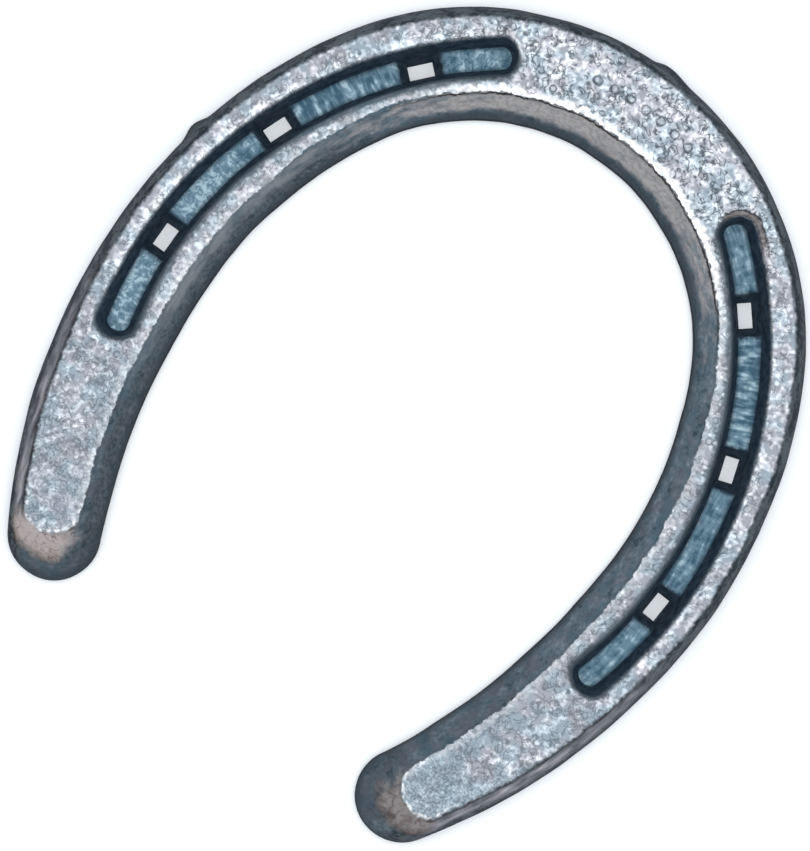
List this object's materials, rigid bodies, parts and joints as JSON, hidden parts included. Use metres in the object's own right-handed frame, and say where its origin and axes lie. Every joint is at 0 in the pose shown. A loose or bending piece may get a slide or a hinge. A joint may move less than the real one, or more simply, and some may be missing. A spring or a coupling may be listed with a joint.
{
  "type": "horseshoe",
  "caption": "Front horseshoe of forged steel with a creased ground face, punched nail holes, bevelled edges and rolled heels, to be nailed to a hoof.",
  "frame": {"origin": "middle of the bounding box's bottom, on the plane of the hoof face", "axes": "+Y towards the toe, +Z out of the creased ground face, +X to the right-hand branch as seen from above with the toe up"},
  "size_m": [0.1234, 0.1358, 0.008],
  "materials": {
    "steel": "tumbled drop forging with a bright pitted ground face, blued dark creases and bevels, and brown scale at the toe bevel and the heels"
  },
  "bodies": {
    "root": {"horseshoe": "steel"}
  },
  "joints": []
}
